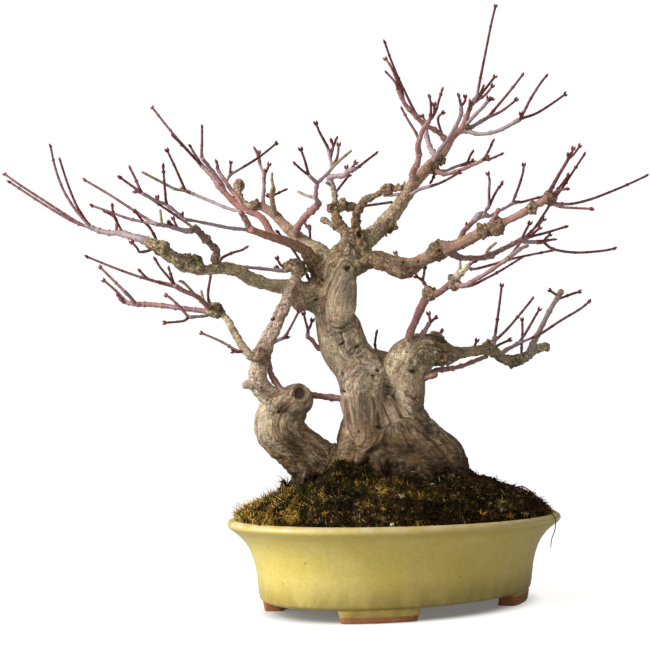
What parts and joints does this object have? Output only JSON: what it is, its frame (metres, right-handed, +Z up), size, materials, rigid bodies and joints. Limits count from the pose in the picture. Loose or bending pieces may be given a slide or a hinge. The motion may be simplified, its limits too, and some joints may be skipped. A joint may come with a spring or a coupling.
{
  "type": "japanese maple bonsai",
  "caption": "Leafless winter maple bonsai with a twin base, low left limb and rising right limb, on a mossy mound in an oval yellow-glazed footed pot.",
  "frame": {"origin": "the middle of the object's box, at the level that the pot's feet stand on", "axes": "+X to the viewer's right along the tree's spread, +Y away from the viewer of the tree's front, +Z up"},
  "size_m": [0.5163, 0.2638, 0.5217],
  "materials": {
    "yellow_glaze": "mottled mustard-yellow glaze on stoneware, bare orange-brown clay at the feet",
    "potting_soil": "dark moist grit with root fibres",
    "golden_moss": "soft golden to yellow-green cushions",
    "dark_moss": "dense black-green moss",
    "maple_bark": "beige-grey fissured bark, salmon and lilac young wood, crimson twigs and buds",
    "black_mesh": "black drain mesh"
  },
  "bodies": {
    "root": {"pot": "yellow_glaze", "soil": "potting_soil", "moss_golden": "golden_moss", "moss_dark": "dark_moss", "tree": "maple_bark", "drain_screen_left": "black_mesh", "drain_screen_right": "black_mesh"}
  },
  "joints": []
}
